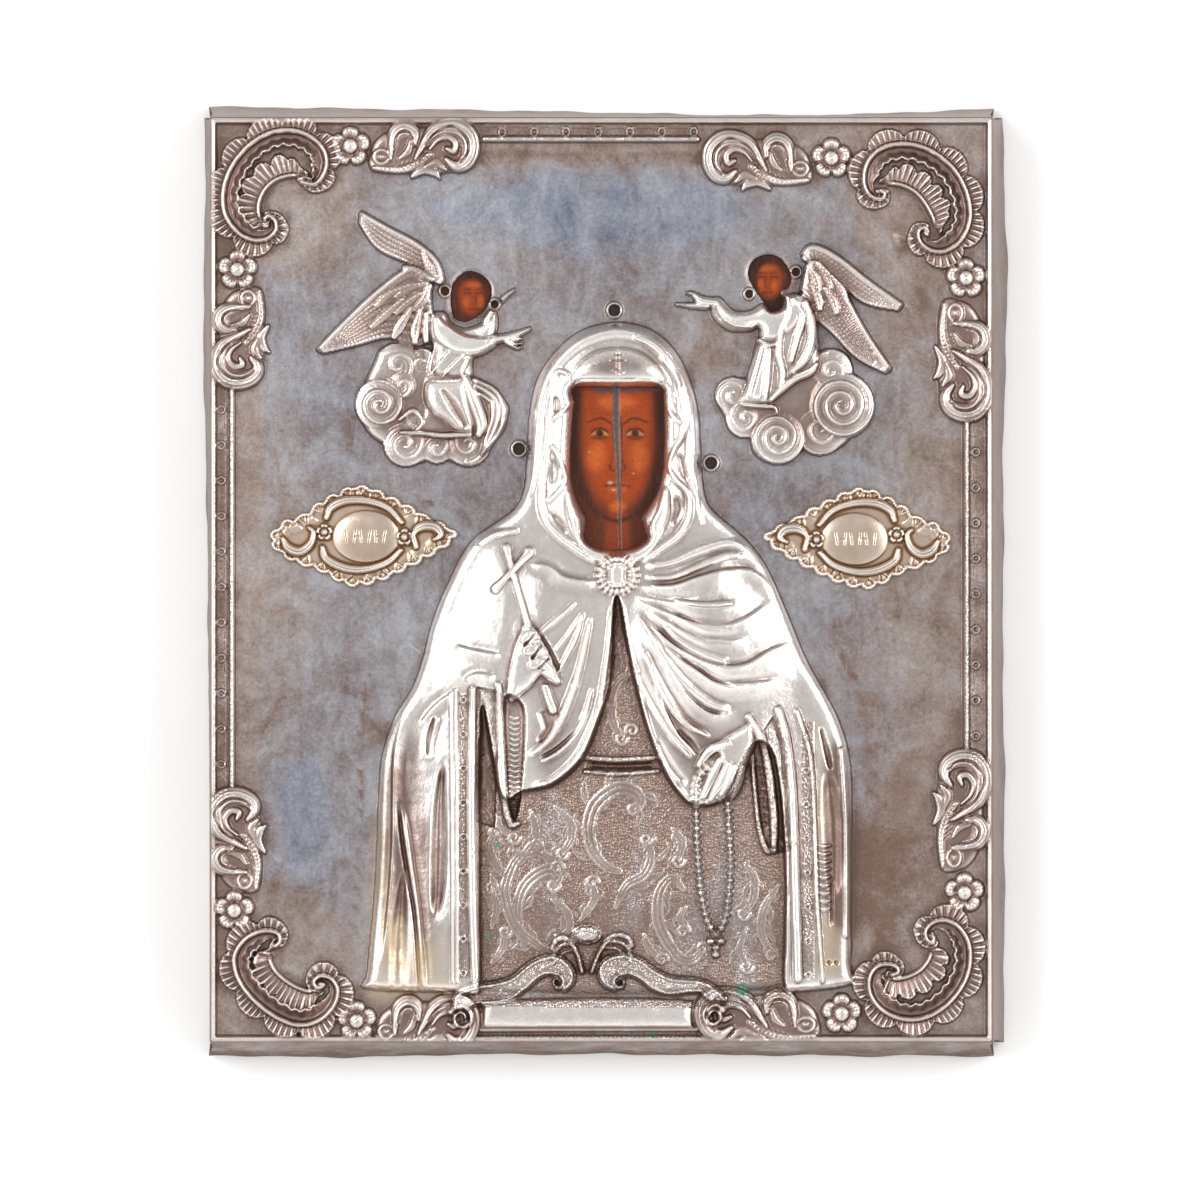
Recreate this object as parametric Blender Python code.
"""An icon panel lying on its back: a painted wooden board under one embossed silver sheet,
with openings for the painted heads, and two applied name plates.

Metres, +Z up. +Z is the picture's front, +Y its top, and the origin is under the middle of the board.
The relief is drawn in millimetres of the real panel, measured from the middle of its front face,
as a height over the sheet's flat ground, and then scaled to the sizes below."""
import math

import bmesh
import bpy
import numpy as np

# The front face between its folds, and what lies under it
FACE_WIDTH = 0.2205
FACE_LENGTH = 0.2605
BOARD_DEPTH = 0.025
BOARD_BEVEL = 0.0010

# The sheet: what is solid under its ground, and its highest carving
SHEET = 0.0006
RELIEF_HEIGHT = 0.0095

# The four turned-down flaps: they stop above the back, widen towards the foot, and have sprung out
# by uneven amounts, given here at even steps round the panel, anticlockwise
FLAP_SHEET = 0.0007
FLAP_STOP = 0.0015
FLAP_NOTCH = 0.0008
FLAP_FLARE = 0.0022
FLAP_BITE = 0.0004
FLAP_SPLAY = {
    "top": (0.0049, 0.0032, 0.0029, 0.0038, 0.0045, 0.0049, 0.0055),
    "left": (0.0034, 0.0037, 0.0034, 0.0026, 0.0019, 0.0015, 0.0011),
    "bottom": (0.0059, 0.0066, 0.0056, 0.0056, 0.0058, 0.0061, 0.0061),
    "right": (0.0049, 0.0054, 0.0050, 0.0048, 0.0050, 0.0062, 0.0046),
}

# Fits; the plates lie on a ground that isn't quite even
CLEARANCE = 0.0003
FLAP_CLEARANCE = 0.0005
PLATE_CLEARANCE = 0.0005

# The applied plates
PLATE_LENGTH = 0.0530
PLATE_SHEET = 0.0007
PLATE_HEIGHT = 0.0024

# The crack that runs down the painted face, and how deep it goes
CRACK_DEPTH = 0.0004

# The drawing: the size it was drawn at, the grid it is cast on and the faces it keeps
DRAWN_WIDTH = 220.5
DRAWN_LENGTH = 260.5
DRAWN_PLATE = 53.0
GRID = 0.7
PLATE_GRID = 0.4
COVER_TRIANGLES = 6150
PLATE_TRIANGLES = 700

UNIT_X = FACE_WIDTH / DRAWN_WIDTH
UNIT_Y = FACE_LENGTH / DRAWN_LENGTH
SHEET_BACK = BOARD_DEPTH + CLEARANCE
GROUND = SHEET_BACK + SHEET


# Curves

def curve(points, per=6, closed=False):
    """A smooth curve through control points; what follows x and y in a point rides along."""
    p = np.asarray(points, float)
    if len(p) < 3 and not closed:
        return p
    if closed:
        p = np.vstack([p[-1:], p, p[:2]])
    else:
        p = np.vstack([2 * p[0] - p[1], p, 2 * p[-1] - p[-2]])
    t = np.linspace(0, 1, per, endpoint=False)[:, None]
    spans = []
    for a, b, c, d in zip(p[:-3], p[1:-2], p[2:-1], p[3:]):
        spans.append(0.5 * (2 * b + (c - a) * t + (2 * a - 5 * b + 4 * c - d) * t ** 2
                            + (3 * b - a - 3 * c + d) * t ** 3))
    if not closed:
        spans.append(p[-2:-1])
    return np.vstack(spans)


def ring(x, y, rx, ry, count=16):
    """An ellipse as a closed outline."""
    a = np.linspace(0, 2 * math.pi, count, endpoint=False)
    return np.c_[x + rx * np.cos(a), y + ry * np.sin(a)]


def coil(x, y, outer, inner, start, turns, width):
    """A volute that winds inwards and thins to half its width; start in degrees, turns signed."""
    k = np.linspace(0, 1, max(8, int(abs(turns) * 14)))
    a = math.radians(start) + k * turns * 2 * math.pi
    r = outer + (inner - outer) * k
    return np.c_[x + r * np.cos(a), y + r * np.sin(a), width * (1 - 0.5 * k)]


def with_width(points, width):
    return [(x, y, width) for x, y in points]


def between(first, last, share):
    """A line part way between two lines of as many points."""
    return np.asarray(first, float) * (1 - share) + np.asarray(last, float) * share


# Profiles across a stroke, from its middle (0) to its edge (1)

def round_top(u):
    return np.sqrt(np.clip(1 - u * u, 0, 1))


def bell(u):
    return np.clip(1 - u * u, 0, 1) ** 2


def flat_top(u):
    return np.clip((1 - np.abs(u)) * 3, 0, 1)


def ease(u):
    u = np.clip(u, 0, 1)
    return u * u * (3 - 2 * u)


def fade_ends(run, total, share):
    """Falls to nothing at both ends of a line, over a share of its length."""
    if not share:
        return 1.0
    return ease(run / (share * total)) * ease((total - run) / (share * total))


class Sheet:
    """A relief's height over its ground on a square grid, embossed form by form."""

    def __init__(self, half_x, half_y, step):
        nx = round(half_x / step)
        ny = round(half_y / step)
        self.xs = np.linspace(-half_x, half_x, 2 * nx + 1)
        self.ys = np.linspace(-half_y, half_y, 2 * ny + 1)
        self.step = step
        self.h = np.zeros((len(self.ys), len(self.xs)))

    def window(self, x0, x1, y0, y1):
        i0, i1 = np.searchsorted(self.xs, (x0, x1))
        j0, j1 = np.searchsorted(self.ys, (y0, y1))
        x, y = np.meshgrid(self.xs[i0:i1], self.ys[j0:j1])
        return (slice(j0, j1), slice(i0, i1)), x, y

    def near(self, line, reach):
        """Around a line: the area, each cell's distance (left is positive), how far along it lies,
        what the line carries there, and the line's length."""
        low = line[:, :2].min(0) - reach
        high = line[:, :2].max(0) + reach
        area, gx, gy = self.window(low[0], high[0], low[1], high[1])
        best = np.full(gx.shape, 1e9)
        side = np.zeros(gx.shape)
        run = np.zeros(gx.shape)
        carried = np.zeros(gx.shape)
        total = 0.0
        for a, b in zip(line[:-1], line[1:]):
            ab = b - a
            length = math.hypot(ab[0], ab[1])
            if length < 1e-9 or not gx.size:
                continue
            i0, i1 = np.searchsorted(gx[0], (min(a[0], b[0]) - reach, max(a[0], b[0]) + reach))
            j0, j1 = np.searchsorted(gy[:, 0], (min(a[1], b[1]) - reach, max(a[1], b[1]) + reach))
            part = (slice(j0, j1), slice(i0, i1))
            px = gx[part] - a[0]
            py = gy[part] - a[1]
            t = np.clip((px * ab[0] + py * ab[1]) / length ** 2, 0, 1)
            dx = px - t * ab[0]
            dy = py - t * ab[1]
            d2 = dx * dx + dy * dy
            closer = d2 < best[part]
            best[part] = np.where(closer, d2, best[part])
            side[part] = np.where(closer, ab[0] * dy - ab[1] * dx, side[part])
            run[part] = np.where(closer, total + t * length, run[part])
            if len(a) > 2:
                carried[part] = np.where(closer, a[2] + t * ab[2], carried[part])
            total += length
        d = np.sqrt(best)
        return area, np.where(side >= 0, d, -d), run, carried, total

    def put(self, area, form, how):
        """raise keeps the higher of the two, add lifts what is there, cut lowers it."""
        h = self.h[area]
        if how == "add":
            self.h[area] = h + form
        elif how == "cut":
            self.h[area] = h - form
        else:
            self.h[area] = np.where(form > 0, np.maximum(h, form), h)

    def stroke(self, points, height, how="raise", shape=round_top, fade=0.0):
        """A ridge along a line of (x, y, half width)."""
        line = curve(points)
        area, d, run, width, total = self.near(line, line[:, 2].max() + self.step)
        width = np.maximum(width, 1e-3)
        form = height * np.where(np.abs(d) < width, shape(d / width), 0)
        self.put(area, form * fade_ends(run, total, fade), how)

    def lip(self, points, height, width):
        """A cloth fold: a sharp rise on the line that falls away softly to its left."""
        line = curve(points)
        area, d, run, _, total = self.near(line, width + self.step)
        rise = ease((d + 0.35) / 0.7)
        form = height * rise * np.clip(1 - np.abs(d) / width, 0, 1) ** 1.5
        self.put(area, form * fade_ends(run, total, 0.2), "add")

    def inside(self, outline, reach):
        low = outline.min(0) - reach
        high = outline.max(0) + reach
        area, x, y = self.window(low[0], high[0], low[1], high[1])
        odd = np.zeros(x.shape, bool)
        for a, b in zip(outline, np.roll(outline, -1, 0)):
            if a[1] != b[1]:
                crossed = (y > a[1]) != (y > b[1])
                odd ^= crossed & (x < a[0] + (y - a[1]) * (b[0] - a[0]) / (b[1] - a[1]))
        return area, odd

    def depth(self, outline, reach):
        """How far each cell lies from a closed outline, and whether it is inside."""
        loop = np.vstack([outline, outline[:1]])
        area, d, _, _, _ = self.near(loop, reach)
        _, odd = self.inside(outline, reach)
        return area, np.abs(d), odd

    def mass(self, outline, height, edge, how="raise", smooth=True, soft=False):
        """A swelling within an outline, rounded over its edge, or soft so that it melts in."""
        line = curve(outline, 5, True) if smooth else np.asarray(outline, float)
        area, d, odd = self.depth(line[:, :2], edge)
        u = np.clip(d / edge, 0, 1)
        rise = ease(u) if soft else np.sqrt(1 - (1 - u) ** 2)
        self.put(area, np.where(odd, height * rise, 0), how)

    def dip(self, outline, reach, low=0.5):
        """The sheet comes down to the board round an opening."""
        area, d, odd = self.depth(curve(outline, 5, True), reach)
        u = np.where(odd, 0, np.clip(d / reach, 0, 1))
        h = self.h[area]
        self.h[area] = np.where(u < 1, low + (h - low) * np.sqrt(1 - (1 - u) ** 2), h)

    def frill(self, points, width, lobe, flute, height, bowl=0.5, ends=0.12):
        """A shell frill on the left of a line, or on its right if the width is negative:
        scalloped lobes with flutes and a crinkled rim."""
        line = curve(points)
        reach = abs(width)
        area, d, run, _, total = self.near(line, reach * 1.25)
        d = d * np.sign(width)
        lobes = np.abs(np.sin(math.pi * run / total * max(1, round(total / lobe))))
        full = reach * (0.62 + 0.38 * np.sqrt(lobes)) * (0.35 + 0.65 * fade_ends(run, total, ends))
        u = d / full
        flutes = 0.5 + 0.5 * np.cos(2 * math.pi * run / total * max(1, round(total / flute)))
        body = (bowl + (1 - bowl) * u) * (0.55 + 0.45 * flutes) * round_top(np.clip((u - 0.7) / 0.3, 0, 1))
        rim = 0.3 * height * bell((d - full * 0.9) / 0.55)
        form = np.where((d > 0) & (u < 1.08), height * np.maximum(body, 0) * (u < 1) + rim, 0)
        self.put(area, form, "raise")

    def flower(self, x, y, r, height, petals=5):
        area, gx, gy = self.window(x - r, x + r, y - r, y + r)
        rr = np.hypot(gx - x, gy - y)
        wave = np.abs(np.cos((np.arctan2(gy - y, gx - x) - math.pi / 2) * petals / 2))
        u = rr / (r * (0.72 + 0.28 * np.sqrt(wave)))
        cup = height * (0.45 + 0.55 * ease((u - 0.3) / 0.5)) * (0.55 + 0.45 * np.clip(wave * 2.2, 0, 1))
        cup = cup * round_top(np.clip((u - 0.6) / 0.4, 0, 1))
        eye = r * 0.42
        button = 1.25 * height * np.clip(1 - (rr / eye) ** 2, 0, 1) ** 0.3
        self.put(area, np.where(rr < eye, button, np.where(u < 1, cup, 0)), "raise")

    def swirl(self, x, y, r, height, turns, start, hand=1):
        """A cloud ball: a terraced spiral that climbs to its middle."""
        area, gx, gy = self.window(x - r, x + r, y - r, y + r)
        rr = np.hypot(gx - x, gy - y)
        a = np.arctan2(gy - y, gx - x) - math.radians(start)
        climb = np.clip((1 - rr / r) * turns + hand * (a / (2 * math.pi) % 1), 0, turns)
        step = np.floor(climb)
        part = climb - step
        terrace = np.sqrt(np.clip(1 - (1 - np.clip(part / 0.4, 0, 1)) ** 2, 0, 1)) - 0.45 * ease(part)
        form = height * (step + terrace + 0.15) / (turns + 0.6)
        self.put(area, np.where(rr < r, np.maximum(form, 0), 0), "raise")

    def beads(self, points, pitch, r, height):
        line = curve(points)
        area, d, run, _, total = self.near(line, r + self.step)
        spacing = total / max(1, round(total / pitch))
        off = (run / spacing) % 1 - 0.5
        self.put(area, height * round_top(np.clip(np.hypot(off * spacing, d) / r, 0, 1)), "add")


# Openings and pin holes

FACE = [(-7.4, 54), (4.5, 54.2), (16, 54), (17.4, 51), (17.6, 44), (17.6, 37), (17.2, 30.5), (15.6, 24.6),
        (13, 20), (11.4, 17.4), (12.2, 13.4), (12.6, 11.4), (9.4, 9.2), (4.5, 8.5), (-1.2, 9), (-4.6, 11.2),
        (-4.6, 14), (-4.4, 17.2), (-6.2, 21), (-8, 26), (-8.6, 31), (-8.5, 38), (-8.0, 46), (-7.6, 50)]
LEFT_HEAD = [(-38, 87), (-34, 86.2), (-31.3, 83.4), (-31, 79.8), (-32.6, 76.4), (-35.5, 73.8), (-38.6, 72.6),
             (-41.6, 73.8), (-42.4, 76.6), (-42.6, 80), (-41.6, 84)]
RIGHT_HEAD = [(46.5, 91.8), (50, 91), (52.6, 88), (53.6, 84.8), (52.6, 82.2), (50.6, 81.2), (51.4, 78.6),
              (50.2, 76.4), (47.8, 75.8), (46.4, 77.4), (44.4, 80), (42.4, 83), (41.2, 86.6), (42.8, 90.2)]
PINS = [(3.6, 76.0, 1.7), (-23.3, 36.9, 1.75), (30.9, 32.9, 1.75), (-44.1, 81.4, 1.25), (-30.1, 77.7, 1.15),
        (41.6, 80.6, 1.15), (54.8, 86.8, 1.2)]
CRACK = [(3.0, 54.5), (5.6, 54.5), (5.6, 45), (6.0, 38), (5.4, 28), (5.5, 8), (4.6, 8), (4.2, 24), (2.6, 30), (3.4, 40)]


# Border

def border(s):
    """Two ridges with a band between them all round, and a lip over the empty panel at the foot."""
    edge_x = DRAWN_WIDTH / 2 - 0.9
    edge_y = DRAWN_LENGTH / 2 - 0.9
    inner_x = edge_x - 5.2
    for x in (-edge_x, edge_x):
        s.stroke([(x, -edge_y, 0.9), (x, edge_y, 0.9)], 1.7)
    for y in (-edge_y, edge_y):
        s.stroke([(-edge_x, y, 0.9), (edge_x, y, 0.9)], 1.7)
    for x, top, foot in ((-inner_x, 54, -60), (inner_x - 1.2, 46, -51)):
        s.stroke([(x, foot, 1.0), (x, top, 1.0)], 1.8)
    s.stroke([(-33, 124.2, 1.0), (27, 124.2, 1.0)], 1.7)
    s.stroke([(-34, -126.9, 0.7), (27, -126.7, 0.7)], 1.3)


# Corner ornaments: the C-scroll's rim, the inner edge of its shell, and which hand the outside is on

CORNERS = (
    ([(-84.5, 112), (-81, 111.4), (-78.6, 113.5), (-77.4, 117.2), (-78.2, 121), (-80.8, 124), (-84.5, 126),
      (-88.5, 126.6), (-93, 126), (-98, 123.4), (-102.2, 119.3), (-105.2, 114.3), (-106.6, 108.8),
      (-106.2, 103.5), (-104, 99.5), (-101, 96.8), (-97.5, 95.6), (-94, 96.2), (-91.7, 98.5), (-92, 101.2),
      (-93.8, 102.6), (-94.8, 101.6)],
     [(-84, 114), (-88, 113.9), (-92, 112.6), (-95, 109.8), (-96.6, 106), (-96.4, 102.4), (-94.6, 100.6)], -1),
    ([(78.6, 109.6), (79.8, 108.9), (79.2, 107.4), (77, 107.5), (75, 109), (73.9, 112), (74.3, 116),
      (76.3, 119.5), (80, 122), (85, 122.8), (90, 122), (95, 119.5), (99.8, 115), (102.9, 109), (103.9, 103),
      (102.7, 98), (99.8, 94.2), (96, 92.4), (92.3, 93), (89.7, 95.3), (89.3, 98.2), (91, 99.2), (92, 98)],
     [(79.5, 111.8), (84, 111.4), (88, 109.6), (91, 106.4), (93.2, 102.4), (94.6, 98.6)], 1),
    ([(-92, -103.2), (-90.6, -102), (-91, -99.8), (-94, -98.8), (-97.8, -99.6), (-101.2, -102),
      (-103.4, -106), (-103, -110.6), (-101, -114.7), (-98, -118.3), (-94.2, -121.5), (-90, -124),
      (-86, -125.3), (-81.8, -125), (-78, -123), (-75.2, -119.6), (-74.3, -115.6), (-76, -112.4),
      (-79, -111.5), (-81, -113), (-80.2, -114.8), (-78.8, -114.6)],
     [(-92.8, -104.6), (-93.4, -107.2), (-91.8, -110.4), (-88, -113.6), (-83.4, -115.7), (-79.6, -115.8)], -1),
    ([(93.6, -100.6), (93.4, -102.3), (91.6, -101.2), (91.4, -98.6), (93.6, -96.4), (97, -95.9),
      (100.5, -97.6), (103.2, -101.6), (103.9, -106.6), (103, -111.6), (100.5, -116.2), (97, -120),
      (92.5, -122.8), (87.5, -123.9), (82.5, -123), (78.2, -120.4), (75.7, -116.5), (75.5, -112.2),
      (77.4, -109.1), (80.2, -108.2), (83, -108.9), (83.6, -110.5), (82, -111.2)],
     [(92.6, -103.2), (92.6, -106.2), (90.3, -109.6), (86.8, -111.6), (83, -112.4), (80.2, -111.4)], 1),
)


def corner(s, rim, shell, outside):
    """A C-scroll with a rim and a gutter, a shell in its hollow and ruffles round its back."""
    s.frill(rim, 4.3 * outside, 8.5, 1.2, 2.2, bowl=0.55)
    line = curve(rim, 5)
    wide = 5.0
    area, d, run, _, total = s.near(line, wide + 1)
    d = -d * outside
    reach = wide * (0.3 + 0.7 * fade_ends(run, total, 0.12))
    gutter = 2.4 - 1.9 * np.sin(math.pi * np.clip(d / wide, 0, 1) ** 0.8)
    s.put(area, np.where((d > 0) & (d < reach), gutter, 0), "raise")
    s.frill(shell, 6.6 * outside, 3.6, 1.25, 2.6, bowl=0.35, ends=0.2)
    s.stroke(with_width(shell, 0.8), 2.2, fade=0.15)
    s.stroke(with_width(rim, 0.85), 3.2)


# Leaf scrolls: the middle of the flower they grow from, the way they run, the way out, and their stretch

LEAF_SCROLLS = (
    (-70.8, 122.2, (1, 0), (0, 1), 1.0),
    (-102.6, 87.4, (0, -1), (-1, 0), 0.92),
    (64.8, 118.8, (-1, 0), (0, 1), 1.0),
    (102.7, 85.0, (0, -1), (1, 0), 1.12),
    (-103.5, -93.2, (0, 1), (-1, 0), 0.95),
    (-69.0, -124.3, (1, 0), (0, 1), 0.95),
    (102.3, -88.2, (0, 1), (1, 0), 1.12),
    (67.7, -122.3, (-1, 0), (0, 1), 1.15),
)


def leaf_scroll(s, x, y, run, out, stretch):
    """An acanthus scroll beside a flower, in its own (along, outward) measure."""
    def at(points):
        placed = []
        for along, outward, width in points:
            placed.append((x + along * stretch * run[0] + outward * out[0],
                           y + along * stretch * run[1] + outward * out[1], width))
        return placed

    s.flower(x, y, 5.6, 2.2)
    s.stroke(at([(5, -6.5, 0.8), (11, -6.9, 1.5), (16, -6, 2.0), (20.5, -3.6, 2.2), (23, 0, 1.8), (24, 3, 1.0)]), 2.0)
    s.stroke(at([(20.5, 0.5, 0.9), (22, 4, 1.5), (26, 5.9, 2.0), (30, 5.2, 2.6), (32.8, 1.8, 3.1),
                 (32.8, -2.6, 2.8), (30, -5.3, 2.0), (27.3, -3.8, 0.9)]), 3.1)
    s.stroke(at([(23, 2.6, 0.7), (26, 4.2, 0.8), (28.5, 2, 0.9), (27.6, -0.6, 0.9), (29.8, -0.8, 0.6)]), 2.6)
    s.stroke(at([(9.5, -1.5, 1.0), (11, 2.5, 1.6), (14.3, 4.4, 2.4), (17.2, 2.2, 2.0), (16.8, -1.8, 1.4),
                 (14, -3.6, 0.9)]), 2.7)
    s.stroke(at(coil(8.4, -2.6, 2.9, 1.2, 60, -0.9, 0.75)), 1.9)
    s.stroke(at([(15, -7, 1.0), (18.5, -6.8, 1.7), (21.5, -6.4, 1.6), (24, -8.3, 0.7)]), 1.8)
    s.stroke(at([(16, -7.5, 0.9), (19, -8.4, 1.6), (20.4, -10.4, 0.9)]), 1.7)


# Angels on their clouds

def wing(s, upper, lower, height, feathers, leading):
    """A wing between its leading and its trailing edge, both from the root to the tip."""
    outline = [p[:2] for p in upper] + [p[:2] for p in lower[::-1]][1:-1]
    s.mass(outline, height * 0.5, 1.2)
    for k in range(feathers):
        share = (k + 0.5) / feathers
        s.stroke(between(upper, lower, share), height * (1.1 - 0.35 * share), fade=0.05)
    s.stroke([(x, y, leading) for x, y, _ in upper], height * 1.25, fade=0.04)


def angel_left(s):
    s.mass([(-64, 62), (-62.5, 65), (-57, 66.6), (-52, 64.5), (-48, 60), (-40, 56), (-32, 54.5), (-27, 50.5),
            (-26, 47), (-28.5, 42), (-31, 37), (-36, 33.4), (-42, 33), (-46, 35), (-51, 32.8), (-57, 33.2),
            (-61, 37.5), (-66, 41.5), (-69, 48), (-67.5, 54)], 2.0, 2.2)
    for ball in ((-62.3, 49.6, 6.6, 4.0, 2.2, 20), (-57.0, 60.6, 6.0, 3.0, 1.8, 200, -1),
                 (-55.8, 54.5, 4.6, 3.8, 1.7, 150, -1), (-55.0, 38.6, 6.2, 3.2, 1.7, 60),
                 (-47.0, 37.6, 4.4, 3.0, 1.5, 120), (-39.4, 39.0, 6.2, 3.4, 1.9, 260, -1)):
        s.swirl(*ball)
    wing(s, [(-44.5, 83, 1.4), (-46.5, 89.5, 1.4), (-52, 94.5, 1.3), (-60, 98.8, 1.0), (-68.5, 103.6, 0.4)],
         [(-47, 84, 1.4), (-50, 87.5, 1.4), (-56, 89.8, 1.2), (-63.5, 93.6, 1.0), (-68.6, 101, 0.4)], 2.3, 4, 0.8)
    wing(s, [(-49, 84, 1.3), (-54, 87.2, 1.3), (-63, 81, 1.3), (-72, 72.6, 1.0), (-80.3, 64, 0.4)],
         [(-48, 70, 1.3), (-52, 65.8, 1.3), (-60, 68.2, 1.2), (-69, 66, 1.0), (-79, 63.6, 0.4)], 2.4, 7, 1.0)
    # shoulder and waist, the far forearm, the near sleeve and its hand
    s.mass([(-48, 75), (-44, 75.5), (-42, 72.5), (-38, 71), (-33, 73), (-30, 76), (-29, 72), (-31, 66), (-36, 62),
            (-36.6, 57), (-44, 56.5), (-48, 58.5), (-47.5, 64), (-49, 70)], 3.2, 3.0)
    s.stroke([(-32.5, 73, 1.4), (-29.8, 77, 1.2), (-26.8, 80, 0.8), (-24.6, 81.6, 0.5)], 3.2)
    s.stroke([(-46.5, 73, 2.2), (-44.8, 69.3, 3.6), (-40.5, 66.4, 3.7), (-35.5, 65.8, 3.1), (-31.5, 67, 2.3)], 4.8)
    s.stroke([(-32, 67.5, 1.8), (-28, 68, 1.3), (-24.5, 68.8, 1.2), (-20.3, 70.6, 0.6)], 4.2)
    # skirt and its hanging folds
    s.mass([(-49.5, 56.5), (-50.6, 51), (-48.5, 46.6), (-45, 44), (-41, 41), (-36, 40.4), (-34.6, 44), (-35.5, 49),
            (-36.6, 54), (-37, 57.4), (-43, 57.2)], 5.2, 4.0)
    s.stroke([(-36.8, 56.6, 1.2), (-34.6, 50, 2.0), (-32.4, 44, 1.9), (-32.8, 40.3, 1.2)], 4.6)
    s.stroke([(-35.6, 56, 0.9), (-31.2, 53.4, 1.2), (-28.2, 49.6, 1.2), (-28, 45, 1.2), (-30.4, 39.6, 1.0),
              (-33.6, 35, 0.7)], 3.6)
    s.stroke([(-44.5, 53, 1.0), (-42, 49.5, 2.0), (-38.5, 43.5, 1.6)], 0.9, "cut", bell)
    s.stroke([(-56.5, 41.4, 0.8), (-50, 41.2, 1.0), (-44.5, 40.6, 1.2), (-37, 40.9, 1.3)], 4.6)
    s.stroke([(-57, 45, 0.8), (-53, 47.6, 1.3), (-50.4, 44.4, 0.9), (-52.4, 42, 0.7)], 3.6)
    s.dip(LEFT_HEAD, 1.6)


def angel_right(s):
    s.mass([(38, 57), (34, 56), (32, 52), (33, 48.5), (35, 45), (37, 41.2), (41.5, 39.6), (42.5, 36), (46, 33.2),
            (51, 32.4), (55, 35), (58, 37), (62, 35.8), (67, 37), (72, 41.5), (75, 46.5), (76.4, 51.5), (74, 56),
            (71, 58.6), (69, 63), (64, 65), (60, 62), (52, 58), (44, 57)], 2.0, 2.2)
    for ball in ((67.6, 49.0, 9.4, 4.4, 2.8, 300), (65.0, 58.6, 5.8, 3.2, 1.9, 100, -1),
                 (49.2, 40.2, 8.2, 4.2, 2.7, 240), (39.4, 46.0, 5.0, 3.2, 1.8, 80, -1),
                 (36.0, 52.6, 4.4, 3.0, 1.7, 180), (60.5, 41.0, 5.5, 3.0, 1.8, 200)):
        s.swirl(*ball)
    wing(s, [(56.4, 90.6, 1.4), (59.5, 93.6, 1.4), (66, 90.8, 1.3), (75.5, 83.4, 1.1), (85.2, 76.6, 0.5)],
         [(57.5, 89.6, 1.4), (61.5, 89.8, 1.4), (67.5, 84, 1.3), (74, 78, 1.1), (84.4, 75.6, 0.5)], 2.3, 4, 1.1)
    wing(s, [(56.6, 80, 1.3), (59.4, 89.4, 1.3), (66.4, 83, 1.2), (74, 69.6, 1.1), (81.6, 58.3, 0.4)],
         [(58.6, 77, 1.3), (60.4, 74, 1.3), (65.4, 69.4, 1.2), (72, 62.4, 1.1), (80.6, 57.8, 0.4)], 2.5, 5, 1.2)
    # torso with the outstretched arm and its hand
    s.mass([(45.6, 78), (42, 76), (37.4, 76), (33.6, 79.6), (31, 79.2), (30.6, 76), (32.4, 72.4), (36.6, 69.9),
            (42, 70), (44, 70.8), (44.8, 67.4), (48.5, 66.6), (52, 68), (56, 71), (58, 75), (57.4, 79), (53.4, 80.6),
            (50, 77)], 4.2, 3.2)
    s.stroke([(31.6, 78, 1.6), (28, 78.6, 1.6), (25.8, 80.4, 0.9), (24, 80.8, 0.4)], 3.8)
    s.stroke([(29.6, 77.2, 1.2), (25.6, 77.2, 0.9), (20.8, 77.6, 0.4)], 3.6)
    # skirt, stole, the lowered sleeve and the hem over the cloud
    s.mass([(44.6, 67.6), (42, 61), (40.2, 55), (38.4, 50.4), (41, 49.4), (47, 49.6), (48.4, 54), (49, 60),
            (48.6, 66)], 5.0, 3.6)
    s.stroke([(44.4, 67.3, 0.9), (47, 66, 1.0), (49, 66.3, 0.8)], 4.9)
    s.stroke([(52, 79.4, 1.2), (52.6, 75, 1.4), (50.6, 70, 1.4), (49.8, 64, 1.6), (51, 58, 1.6), (50.2, 53, 1.0)], 4.6)
    s.stroke([(54, 79, 1.2), (56.4, 74, 2.2), (55, 68, 1.8), (53.4, 62, 1.5)], 4.3)
    s.stroke([(57.4, 78, 1.4), (58.8, 73, 1.9), (59, 67, 2.0), (57, 62, 2.0), (54, 58.8, 1.2)], 5.0)
    s.stroke([(60.6, 60.6, 0.9), (58.6, 58.4, 1.6), (54.6, 56.6, 1.6), (50.8, 53.8, 1.7), (47.8, 50.6, 0.9)], 4.8)
    s.stroke([(39.4, 49.6, 0.9), (44, 49, 1.1), (48.6, 48.6, 0.9), (49.4, 47, 0.6)], 4.0)
    s.dip(RIGHT_HEAD, 1.6)


# The saint

MANTLE = [(4, 72.6), (-4, 71), (-10, 67.4), (-15, 62), (-18.4, 56), (-20.2, 48), (-20.8, 40), (-21.2, 32), (-22, 25),
          (-24.6, 20), (-30, 16), (-35.6, 12), (-39.4, 7), (-42.4, 1), (-45.6, -6), (-48.4, -14), (-50.4, -22),
          (-53.2, -30), (-58, -38), (-61, -46), (-62.6, -56), (-63.8, -85), (-66, -110), (-66, -115.4), (-40, -116.5),
          (0, -118), (40, -117), (69, -114.6), (70.4, -108), (70.6, -85), (70.8, -65), (70, -50), (67.2, -40),
          (63, -31.6), (58, -22.6), (54, -13), (50.2, -4), (47, 3), (43, 9), (38.6, 13.4), (33.6, 17.6), (30, 21.6),
          (28.6, 28), (28, 38), (27.4, 47), (25.6, 55), (22.6, 62), (18, 67.8), (12, 71.4)]
DRESS = [(3.4, -6), (2.2, -28), (-1.6, -40), (-6, -50), (-14, -57), (-22, -59), (-28, -60), (-34, -36), (-34.6, -111),
         (-10, -111), (20, -111), (50, -112), (52, -80), (49, -50), (42, -46), (34, -60), (24, -62), (15, -46),
         (9.6, -28), (6, -8)]
BROOCH = (4.4, 1.3)


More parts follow.
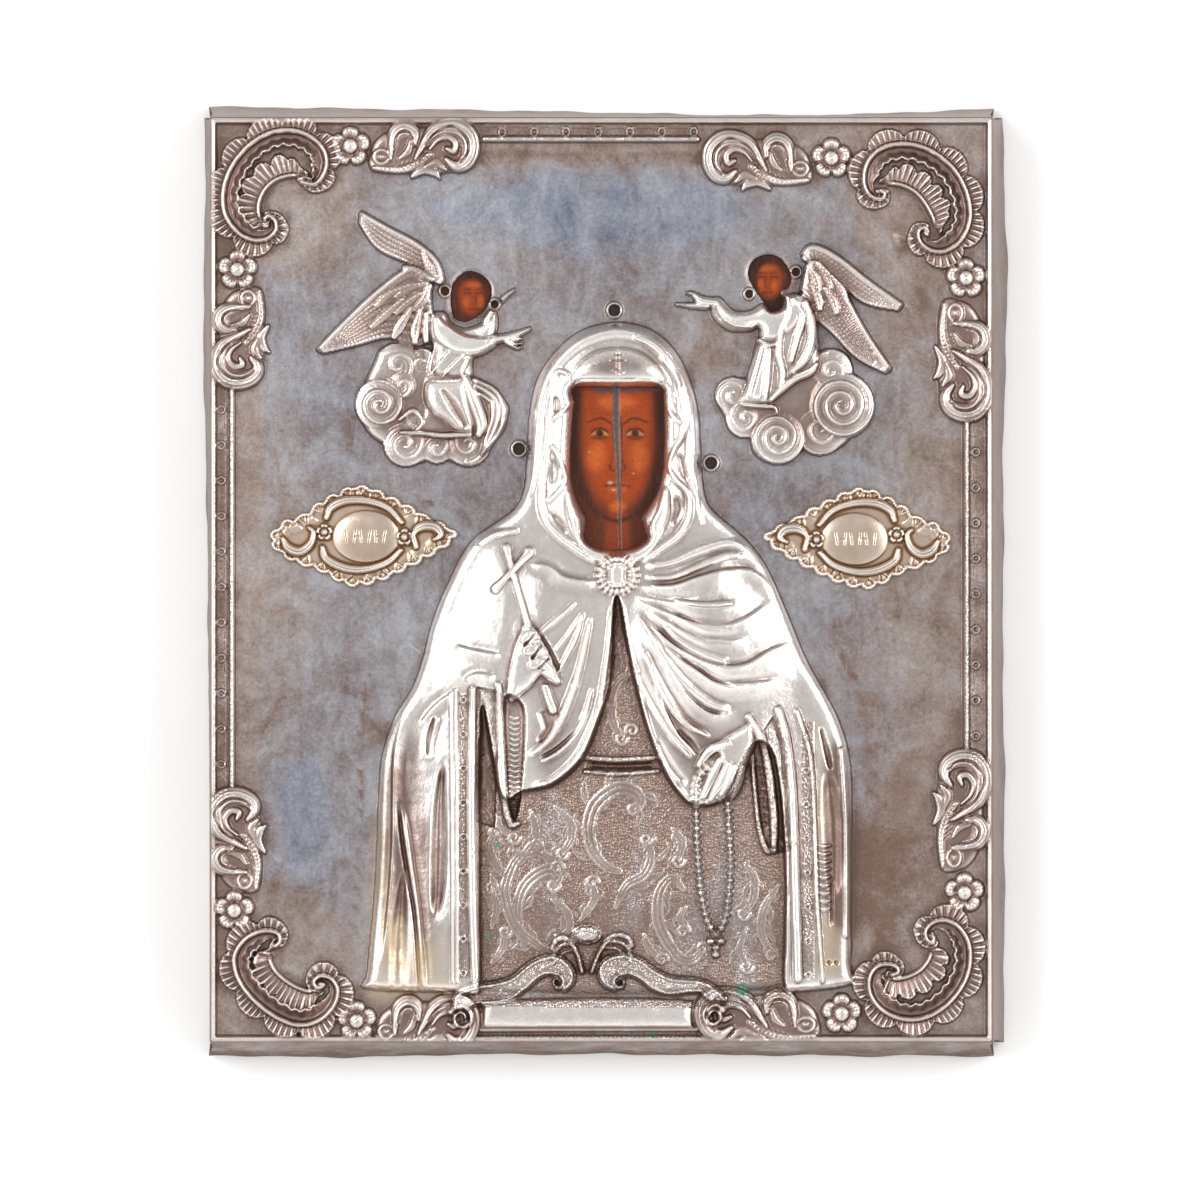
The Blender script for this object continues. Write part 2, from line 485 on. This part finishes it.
def saint(s):
    s.mass(MANTLE, 4.2, 3.6)
    swellings = (
        ([(-40, -2), (-48, -25), (-56, -50), (-58, -108), (-20, -108), (40, -108), (65, -108), (65, -60), (58, -32),
          (48, -5), (34, 12), (4, 4), (-30, 12)], 2.4, 22),
        ([(-34, 8), (-46, -12), (-49, -28), (-38, -38), (-26, -38), (-18, -20), (-16, 0), (-24, 10)], 2.2, 12),
        ([(38, 8), (52, -10), (59, -28), (48, -38), (34, -38), (20, -22), (16, -2), (28, 8)], 1.8, 12),
        ([(4, 70), (-8, 66), (-15, 58), (-17.5, 46), (-17.5, 30), (-12, 12), (4, 4), (16, 8), (23, 18), (25, 34),
          (25, 48), (21, 60), (12, 68.6)], 2.2, 8))
    for outline, height, edge in swellings:
        s.mass(outline, height, edge, "add", soft=True)
    hood(s)
    s.dip(FACE, 3.4)
    s.mass(DRESS, 3.0, 2.4, "cut")
    mantle_folds(s)
    hems_and_sleeves(s)
    hands(s)
    s.mass(ring(*BROOCH, 5.0, 5.4), 2.2, 1.4, "add")
    s.mass(ring(*BROOCH, 2.4, 3.4, 8), 1.8, 0.8, "add", smooth=False)


def hood(s):
    """Broad rolls round the head, the cap over the brow, the veil's corners and the cloth at the chin."""
    rolls = (
        ([(-21.5, 22, 1.6), (-19, 30, 2.0), (-18, 42, 2.2), (-16.6, 52, 2.4), (-13, 60, 2.4), (-6, 66.5, 2.4),
          (4, 69.6, 2.4), (13, 67.4, 2.4), (20, 61, 2.4), (23.6, 53, 2.4), (25.4, 42, 2.2), (25.6, 30, 2.0),
          (28, 22, 1.6)], 1.2, bell),
        ([(-16.4, 21, 0.9), (-17.2, 30, 1.2), (-15.6, 45, 1.3), (-12.6, 54, 1.4), (-7.6, 60.6, 1.5), (0, 64.8, 1.5),
          (8, 64.8, 1.5), (16, 60, 1.5), (20.6, 52, 1.4), (22.6, 43.6, 1.2), (20, 36, 1.0), (18.6, 30.6, 0.9),
          (22, 26, 0.9), (24.4, 21, 0.8), (24, 15.6, 0.7)], 1.5, round_top),
        ([(-9.6, 27, 0.8), (-8.8, 20, 1.6), (-6.4, 13, 2.2), (-1.6, 7.6, 2.4), (4.5, 5.6, 2.2), (10.6, 7.6, 2.4),
          (14.8, 13, 2.2), (17.8, 20, 1.6), (18.6, 27, 0.8)], 1.3, round_top),
        ([(-16, 20.6, 0.9), (-13.6, 15, 1.3), (-9, 9.4, 1.4), (-2.4, 4.4, 1.2)], 1.2, round_top),
        ([(24.4, 20, 0.9), (21.6, 14, 1.3), (16.4, 9.2, 1.4), (10, 4.4, 1.2)], 1.2, round_top))
    for points, height, shape in rolls:
        s.stroke(points, height, "add", shape, fade=0.04)
    s.mass([(-8, 55), (-7, 60), (-2, 64), (4.5, 65.2), (11, 64), (16, 60), (17.6, 55), (4.5, 54.8)], 1.4, 5, "add")
    s.stroke([(-7.6, 52.4, 0.9), (-5.6, 54.9, 1.0), (4.5, 55, 0.9), (14.6, 55.1, 1.0), (17.2, 52.6, 0.9)], 1.0, "add")
    corners = ([(-14.6, 42.6), (-11, 46.4), (-8.2, 50)], [(-10, 27.6), (-12.6, 24.4), (-16.6, 21)],
               [(-15, 38), (-11.4, 33.6), (-10, 27.6)], [(16.8, 49.8), (18.8, 46.2), (22.8, 43.4)],
               [(22.4, 40), (19.4, 33.6), (18.6, 30)])
    for points in corners:
        s.stroke(with_width(points, 1.0), 1.0, "add", fade=0.1)


def mantle_folds(s):
    """Folds that spread from the brooch, the mantle's two parting edges and its collar rolls."""
    folds = (
        ([(48, -2.4), (42, 2.2), (34, 2.0), (27, 0.2), (20, -2.0), (10, -2.2)], 1.5, 4.5),
        ([(39.6, -6), (34, -6.6), (28, -7), (18, -6.4), (9, -4.6)], 0.8, 4),
        ([(49, -5.4), (41, -11), (34, -13.4), (26, -12.4), (18, -9.4), (9, -5.6)], 1.1, 5),
        ([(42, -16.4), (36, -17.5), (28, -17), (20, -13), (12, -8.6)], 1.0, 4),
        ([(55, -17.4), (48, -20), (41, -24), (34, -24.6), (26, -22), (18, -17), (10, -9)], 1.5, 6),
        ([(51, -28.4), (40, -29.6), (32, -29), (24, -24), (16, -18)], 1.3, 5),
        ([(39, -36), (34, -38.2), (29, -37), (23, -31.6), (17, -22.6), (10, -9.6)], 1.7, 6.5),
        ([(31, -43.6), (25, -41), (20, -35), (15, -26), (11.6, -18)], 1.1, 3.6),
        ([(28, -50), (21, -43), (15.6, -32), (10, -16)], 1.1, 3.6),
        ([(-4, -1.6), (-10, 0.2), (-15, 2.6), (-22, 3.8)], 1.2, 4),
        ([(-6, -5.6), (-10.6, -11), (-15.6, -15)], 0.9, 3.4),
        ([(-3, -7), (-6, -15), (-12, -23)], 0.9, 4),
        ([(-1, -8), (-3.4, -20), (-8.6, -31), (-12, -35)], 1.1, 4),
        ([(1, -9), (-2.4, -24), (-6.6, -37), (-12, -46.6), (-19, -50.4)], 1.3, 4.6),
        ([(-28, -21.6), (-36, -20.2), (-42, -18.4)], 0.9, 3.5),
        ([(-29.6, -27.6), (-35, -26.8), (-39, -28.6)], 0.9, 3))
    for points, height, width in folds:
        s.lip(points, height, width)
    edges = ([(3, -5), (2.4, -15), (1, -28), (-1.6, -40), (-5.4, -49), (-11, -55.8), (-17, -58.6), (-21, -58)],
             [(5.6, -6), (7.6, -18), (10.8, -32), (15, -46), (19, -56), (24, -62)])
    for points in edges:
        s.stroke(with_width(points, 1.3), 1.4, "add", bell)
    rolls = ([(-19, 9.6, 1.4), (-27, 10.4, 1.8), (-33, 8.6, 1.4)],
             [(12, 3.4, 1.2), (20, 5, 1.6), (28, 8.4, 2.0), (36, 10.4, 1.8), (42, 8.4, 1.2)],
             [(12, 0.6, 1.0), (20, 0.8, 1.2), (28, 4, 1.4), (35, 6.8, 1.4), (41, 6.6, 1.0)])
    for points in rolls:
        s.stroke(points, 1.2, "add", bell, fade=0.1)


def hems_and_sleeves(s):
    """The long hems on both sides, the hollow sleeves that hang in a U, and the belt."""
    s.mass([(-29.6, -30), (-29.4, -50), (-28.2, -64), (-26.4, -69.4), (-24, -69.6), (-22.8, -66), (-22, -58),
            (-20.6, -50), (-21, -36)], 1.4, 1.4, "add")
    s.mass([(-27, -34), (-26.6, -50), (-26, -63), (-24.4, -67), (-23.4, -63), (-22.6, -54), (-22, -44),
            (-22.4, -36)], 2.4, 1.6, "cut")
    s.lip([(-55, -36), (-58, -50), (-58.6, -75), (-60, -95), (-62, -110)], 1.0, 3)
    s.lip([(-50.6, -110), (-52.4, -95), (-55, -78), (-57, -60)], 1.6, 6)
    s.lip([(-49, -50), (-49.4, -46), (-46.6, -38)], 1.3, 3)
    ridges = (
        ([(-42.6, -33, 0.9), (-41.8, -60, 0.9), (-41.4, -88, 0.9), (-41.6, -113, 0.9)], 1.0),
        ([(-36.2, -31, 1.2), (-36.4, -60, 1.5), (-36, -88, 1.5), (-35.2, -112, 1.5)], 1.7),
        ([(42.4, -39, 1.1), (46.4, -50, 1.4), (48, -64, 1.5), (48.4, -76, 1.2)], 1.9),
        ([(40.4, -48, 0.9), (43.4, -60, 0.9), (44.4, -70, 0.9), (46.8, -76.4, 1.0), (48.6, -76, 1.0)], 1.5),
        ([(49.4, -36, 1.2), (52.2, -48, 1.5), (53.4, -64, 1.5), (54.2, -84, 1.5), (55.2, -112, 1.5)], 1.9),
        ([(54.6, -37, 0.8), (59, -52, 0.8), (60, -70, 0.8), (60.6, -90, 0.8), (62.4, -113, 0.8)], 1.2),
        ([(67.6, -48, 1.0), (68.8, -70, 1.0), (69, -100, 1.0)], 0.9),
        ([(-5.4, -50, 0.9), (5, -50.6, 0.9), (15.6, -50, 0.9)], 1.0),
        ([(-4.6, -54, 0.7), (5, -54.6, 0.7), (16, -53.8, 0.7)], 0.9))
    for points, height in ridges:
        s.stroke(points, height, "add")
    hollows = (
        ([(-46, -60, 3.0), (-46, -80, 3.4), (-47, -94, 2.4)], 1.4),
        ([(43.4, -50, 1.6), (45.4, -62, 1.8), (46, -72, 1.3)], 1.8),
        ([(62, -42, 1.5), (64, -52, 1.5), (65, -60, 1.2)], 1.0),
        ([(64, -60, 3.2), (65, -80, 3.4), (66, -100, 2.4)], 1.4),
        ([(-5, -52, 1.4), (5, -52.5, 1.4), (16, -52, 1.4)], 1.2))
    for points, depth in hollows:
        s.stroke(points, depth, "cut", bell, fade=0.15)


def hands(s):
    """The hand that holds the cross, and the hand that holds the string of beads."""
    s.mass([(-23, -13), (-18.6, -12.6), (-15.4, -17), (-13, -23), (-11.8, -28.6), (-14, -29.6), (-17, -27.6),
            (-20, -30.6), (-26, -31), (-27.4, -27), (-26, -20)], 2.2, 3.0, "add")
    for k in range(3):
        s.stroke([(-19.4 + 1.6 * k, -14.2 - 3.3 * k, 0.5), (-21.6 + 2.0 * k, -18.2 - 3.0 * k, 0.5)], 1.2, "cut", bell)
    s.stroke([(-28.4, -29, 1.0), (-24, -33.6, 1.2), (-18.6, -33.4, 1.0), (-15.6, -29, 0.8)], 0.6, "add")
    cross_top = 9.6
    for bar in ([(-26.8, 8.6, 1.0), (-21.4, -13, 1.15)], [(-30, -2.6, 1.1), (-20.4, 7.6, 1.1)]):
        s.stroke(bar, cross_top, shape=flat_top)
    s.stroke([(-16.4, -30, 1.0), (-13.8, -36.6, 1.0)], 6.0, shape=flat_top)
    s.mass([(42.6, -38.6), (37, -41), (31.4, -44.6), (27, -50), (25, -53.4), (28, -54), (31, -49), (31.6, -56),
            (28, -62.4), (34, -60), (38.6, -54), (42.6, -48), (44, -44)], 2.6, 3.0, "add")
    for strand in ([(30.4, -52), (27, -56), (26.6, -64), (27, -76), (28, -88), (29.8, -96), (32.2, -100.4)],
                   [(35.4, -62), (36, -72), (36.2, -82), (35.4, -92), (34.2, -97), (32.2, -100.4)]):
        s.beads(strand, 1.65, 0.95, 1.6)
    for bar in ([(32, -100.2, 0.9), (32, -106, 0.9)], [(29, -103, 0.9), (35, -103, 0.9)]):
        s.stroke(bar, 5.2, shape=flat_top)


def cartouche(s):
    """The empty panel at the foot, with two scroll bands, a boss between them and volutes at its ends."""
    s.mass([(-34, -118.6), (-20, -118), (0, -117.6), (20, -118), (26, -118.6), (26, -126.4), (-34, -126.4)],
           1.6, 0.8, smooth=False)
    bands = (
        ([(-41.6, -120.6), (-41, -117), (-37, -114.8), (-30, -113.6), (-25, -112), (-20, -108), (-15, -106),
          (-11, -106.8), (-8.2, -110), (-8.2, -113.4), (-10.4, -115.6)],
         [(-38, -120.6), (-36, -119.6), (-33, -119.4), (-29, -118.9), (-25, -118), (-21, -115), (-17.6, -112),
          (-14.6, -111), (-11.8, -112), (-11.4, -114), (-12.6, -115)]),
        ([(34.8, -118), (31.6, -114.6), (27, -112.8), (20, -112.2), (15, -110), (11, -107), (6, -105.6),
          (1.4, -106.8), (-0.8, -110), (0.4, -113.6), (3.6, -115.4)],
         [(31, -118.6), (28, -116.4), (25, -116.2), (19, -117), (14.6, -115.4), (11, -112.6), (8, -111.2),
          (5.4, -111.6), (4.2, -113), (5, -114.4), (6, -114.6)]))
    for upper, lower in bands:
        s.mass(upper + lower[::-1], 3.0, 1.6)
        s.stroke(with_width(upper, 0.8), 4.0)
        s.stroke(with_width(lower, 0.7), 3.6)
    s.mass(ring(-4.2, -99.8, 4.4, 2.9), 4.6, 2.4)
    for points in ([(-14.2, -105), (-13, -101.8), (-10.4, -100.8), (-7.6, -103.4), (-5.4, -107), (-4.6, -111.4)],
                   [(8.8, -104.4), (7.6, -101), (4.2, -100), (0.6, -102.6), (-2.4, -107), (-4, -111.4)]):
        s.stroke(with_width(points, 0.9), 3.8)
    for volute in ((-12.4, -113.2, 2.0, 0.6, 60, -1.1, 0.6), (5.2, -113.2, 2.0, 0.6, 120, 1.1, 0.6),
                   (-39.4, -123.4, 3.6, 1.2, 150, -1.4, 0.9), (31.6, -122.8, 3.2, 1.2, 30, 1.4, 0.9)):
        s.stroke(coil(*volute), 3.4)


def draw_cover():
    s = Sheet(DRAWN_WIDTH / 2, DRAWN_LENGTH / 2, GRID)
    border(s)
    saint(s)
    angel_left(s)
    angel_right(s)
    for scroll in LEAF_SCROLLS:
        leaf_scroll(s, *scroll)
    for rim, shell, outside in CORNERS:
        corner(s, rim, shell, outside)
    cartouche(s)
    for x, y, r in PINS:
        area, gx, gy = s.window(x - 3, x + 3, y - 3, y + 3)
        off = np.hypot(gx - x, gy - y) - r
        s.h[area] = np.where(off < 0.9, 0.15, s.h[area])
        s.put(area, 0.7 * bell((off - 0.3) / 0.6), "add")
    # the outermost line turns into the fold
    s.h[[0, -1], :] = 0.5
    s.h[:, [0, -1]] = 0.5
    s.h = np.maximum(s.h, 0)
    return s


# Name plates, drawn about their own middle; the right one is the left one turned over

PLATES = {"name_plate_left": (-67.3, 11.9, 1), "name_plate_right": (72.3, 11.2, -1)}
PLATE_OUTLINE = [(-26.2, -0.9), (-22.6, 4.2), (-16.6, 6.6), (-10.6, 11), (-1, 14.6), (8.6, 11.2), (17, 6.6), (26.2, 1),
                 (19.4, -4.8), (12, -8.8), (4, -12.4), (-4, -13.4), (-12.4, -9.2), (-20.6, -6.2)]
PLATE_LOBE = 5.2


def plate_outline():
    """A lozenge with a scalloped edge."""
    line = curve(PLATE_OUTLINE, 10, True)
    ahead = np.roll(line, -1, 0) - line
    step = np.hypot(ahead[:, 0], ahead[:, 1])
    run = np.concatenate([[0], np.cumsum(step)[:-1]])
    lobes = round(step.sum() / PLATE_LOBE)
    bulge = 0.9 * np.abs(np.sin(math.pi * run / step.sum() * lobes)) ** 0.7 - 0.4
    outward = np.c_[-ahead[:, 1], ahead[:, 0]] / step[:, None]
    return line + outward * bulge[:, None]


def draw_plate():
    s = Sheet(28.0, 16.0, PLATE_GRID)
    s.h += 0.2
    outline = plate_outline()
    area, d, odd = s.depth(outline, 4.5)
    flutes = 0.5 + 0.5 * np.cos(np.arctan2(*np.meshgrid(s.ys, s.xs, indexing="ij"))[area] * 60)
    s.put(area, np.where(odd, 0.9 * bell((d - 0.8) / 1.2) + 0.3 * flutes * bell((d - 2.4) / 1.8), 0), "add")
    s.mass(ring(1.0, 0.2, 9.6, 7.4), 1.5, 5, "add")
    for points in ([(-10.2, 5.4, 0.8), (-9, 8.4, 1.3), (-5, 10.4, 1.4), (1, 10.4, 1.2), (7, 8.4, 1.1), (11, 4.2, 0.8)],
                   [(-11.4, -2.8, 0.8), (-10.2, -6, 1.3), (-5, -8.6, 1.4), (1, -8.9, 1.2), (7, -7, 1.1),
                    (10.8, -3.6, 0.8)],
                   [(-22.6, -0.4, 0.7), (-20.8, -3, 1.5), (-17.6, -3.9, 1.5), (-14.6, -1.8, 1.2), (-13.8, 1.4, 0.9),
                    (-15.2, 2.8, 0.5)],
                   [(15, -2.6, 1.0), (14.4, 1, 0.9), (17, 3.2, 1.5), (20.4, 3, 1.6), (22, 0.8, 1.2), (20.2, -0.6, 0.6)]):
        s.stroke(points, 1.9)
    for x, y, r in ((-10.8, 1.5, 2.6), (11.8, 0.1, 2.7)):
        s.flower(x, y, r, 1.5)
    return s


# Solids

def material(name, colour, roughness, metallic):
    m = bpy.data.materials.new(name)
    m.use_nodes = True
    shader = m.node_tree.nodes["Principled BSDF"]
    shader.inputs["Base Color"].default_value = (*colour, 1)
    shader.inputs["Roughness"].default_value = roughness
    shader.inputs["Metallic"].default_value = metallic
    return m


def add_object(name, mesh, finish=None):
    obj = bpy.data.objects.new(name, mesh)
    bpy.context.scene.collection.objects.link(obj)
    if finish:
        mesh.materials.append(finish)
    return obj


def as_guide(obj):
    obj.hide_render = True
    obj.display_type = "WIRE"
    return obj


def relief_mesh(name, sheet, units, back, ground, height, triangles):
    """The drawn relief as a closed solid: its top with few faces, straight sides and a flat back.
    Its highest point stands at the stated height over the ground."""
    rows, cols = sheet.h.shape
    x, y = np.meshgrid(sheet.xs, sheet.ys)
    raised = sheet.h * height / sheet.h.max()
    points = np.c_[x.ravel() * units[0], y.ravel() * units[1], ground + raised.ravel()]
    index = np.arange(rows * cols).reshape(rows, cols)
    quads = np.c_[index[:-1, :-1].ravel(), index[:-1, 1:].ravel(), index[1:, 1:].ravel(), index[1:, :-1].ravel()]
    fine = bpy.data.meshes.new(name + "_fine")
    fine.from_pydata(points.tolist(), [], quads.tolist())
    fine_object = add_object(name + "_fine", fine)
    fewer = fine_object.modifiers.new("fewer faces", "DECIMATE")
    fewer.ratio = triangles / (2 * len(quads))
    view = bpy.context.evaluated_depsgraph_get()
    top = bpy.data.meshes.new_from_object(fine_object.evaluated_get(view))
    bpy.data.objects.remove(fine_object)
    bpy.data.meshes.remove(fine)
    bm = bmesh.new()
    bm.from_mesh(top)
    bpy.data.meshes.remove(top)
    rim = [e for e in bm.edges if e.is_boundary]
    skirt = bmesh.ops.extrude_edge_only(bm, edges=rim)["geom"]
    for v in skirt:
        if isinstance(v, bmesh.types.BMVert):
            v.co.z = back
    foot = [e for e in skirt if isinstance(e, bmesh.types.BMEdge) and e.is_boundary]
    floor = bmesh.ops.contextual_create(bm, geom=foot)["faces"]
    bmesh.ops.poke(bm, faces=floor)
    bmesh.ops.recalc_face_normals(bm, faces=bm.faces)
    mesh = bpy.data.meshes.new(name)
    bm.to_mesh(mesh)
    bm.free()
    return mesh


def prisms(name, outlines, low, high):
    """Upright prisms on closed outlines, as one guide."""
    bm = bmesh.new()
    for outline in outlines:
        foot = [bm.verts.new((x, y, low)) for x, y in outline]
        face = bm.faces.new(foot)
        raised = bmesh.ops.extrude_face_region(bm, geom=[face])["geom"]
        bmesh.ops.translate(bm, vec=(0, 0, high - low), verts=[v for v in raised if isinstance(v, bmesh.types.BMVert)])
    bmesh.ops.recalc_face_normals(bm, faces=bm.faces)
    mesh = bpy.data.meshes.new(name)
    bm.to_mesh(mesh)
    bm.free()
    return as_guide(add_object(name, mesh))


def boolean(obj, guide, operation):
    modifier = obj.modifiers.new(operation.lower(), "BOOLEAN")
    modifier.operation = operation
    modifier.object = guide


def scaled(points):
    return [(x * UNIT_X, y * UNIT_Y) for x, y in points]


def flaps():
    """The four turned-down sides, each from section to section along its length."""
    bm = bmesh.new()
    top = SHEET_BACK + FLAP_BITE
    half = {"top": FACE_LENGTH / 2, "bottom": FACE_LENGTH / 2, "left": FACE_WIDTH / 2, "right": FACE_WIDTH / 2}
    out = {"top": (0, 1), "bottom": (0, -1), "left": (-1, 0), "right": (1, 0)}
    for side, splays in FLAP_SPLAY.items():
        nx, ny = out[side]
        reach = half[side] - FLAP_BITE / 4
        along = half["left" if nx == 0 else "top"] - FLAP_NOTCH
        sections = []
        for share, splay in zip(np.linspace(-1, 1, len(splays)), splays):
            fold = share * along
            foot = share * (along + FLAP_FLARE)
            corners = ((reach - FLAP_SHEET, fold, top), (reach, fold, top),
                       (reach + splay, foot, FLAP_STOP), (reach + splay - FLAP_SHEET, foot, FLAP_STOP))
            sections.append([bm.verts.new((u * nx - run * ny, u * ny + run * nx, z)) for u, run, z in corners])
        for one, other in zip(sections, sections[1:]):
            for k in range(4):
                bm.faces.new((one[k], one[k - 1], other[k - 1], other[k]))
        bm.faces.new(sections[0])
        bm.faces.new(sections[-1][::-1])
    bmesh.ops.recalc_face_normals(bm, faces=bm.faces)
    mesh = bpy.data.meshes.new("flaps")
    bm.to_mesh(mesh)
    bm.free()
    return as_guide(add_object("flaps", mesh))


def make_cover():
    mesh = relief_mesh("silver_cover", draw_cover(), (UNIT_X, UNIT_Y), SHEET_BACK, GROUND, RELIEF_HEIGHT,
                       COVER_TRIANGLES)
    cover = add_object("silver_cover", mesh, material("silver", (0.70, 0.67, 0.64), 0.3, 1.0))
    outlines = [scaled(curve(points, 3, True)) for points in (FACE, LEFT_HEAD, RIGHT_HEAD)]
    outlines += [scaled(ring(x, y, r, r, 12)) for x, y, r in PINS]
    boolean(cover, prisms("openings", outlines, BOARD_DEPTH, GROUND + 2 * RELIEF_HEIGHT), "DIFFERENCE")
    boolean(cover, flaps(), "UNION")


def make_board():
    side = FLAP_SHEET + FLAP_CLEARANCE
    width = FACE_WIDTH - 2 * side
    length = FACE_LENGTH - 2 * side
    bm = bmesh.new()
    bmesh.ops.create_cube(bm, size=1)
    for v in bm.verts:
        v.co.x *= width
        v.co.y *= length
        v.co.z = (v.co.z + 0.5) * BOARD_DEPTH
    mesh = bpy.data.meshes.new("board")
    bm.to_mesh(mesh)
    bm.free()
    board = add_object("board", mesh, material("painted wood", (0.33, 0.12, 0.05), 0.5, 0.0))
    bevel = board.modifiers.new("worn edges", "BEVEL")
    bevel.width = BOARD_BEVEL
    bevel.segments = 2
    crack = prisms("crack", [scaled(curve(CRACK, 2, True))], BOARD_DEPTH - CRACK_DEPTH, BOARD_DEPTH + CLEARANCE)
    boolean(board, crack, "DIFFERENCE")


def make_plates():
    sheet = draw_plate()
    unit = PLATE_LENGTH / DRAWN_PLATE
    back = GROUND + PLATE_CLEARANCE
    gilt = material("pale gilt", (0.78, 0.64, 0.42), 0.3, 1.0)
    mesh = relief_mesh("name_plate", sheet, (unit, unit), back, back + PLATE_SHEET, PLATE_HEIGHT, PLATE_TRIANGLES)
    outline = [(x * unit, y * unit) for x, y in plate_outline()[::3]]
    for name, (x, y, hand) in PLATES.items():
        copy = mesh.copy()
        if hand < 0:
            copy.transform(((-1, 0, 0, 0), (0, 1, 0, 0), (0, 0, 1, 0), (0, 0, 0, 1)))
            copy.flip_normals()
        plate = add_object(name, copy, gilt)
        plate.location = (x * UNIT_X, y * UNIT_Y, 0)
        placed = [(x * UNIT_X + hand * px, y * UNIT_Y + py) for px, py in outline]
        boolean(plate, prisms(name + "_outline", [placed], BOARD_DEPTH, GROUND + 2 * RELIEF_HEIGHT), "INTERSECT")
    bpy.data.meshes.remove(mesh)


def main():
    for obj in list(bpy.data.objects):
        bpy.data.objects.remove(obj)
    make_board()
    make_cover()
    make_plates()
    for obj in bpy.context.scene.collection.objects:
        if not obj.hide_render:
            obj.data.shade_smooth()
            obj.data.set_sharp_from_angle(angle=math.radians(40))


main()
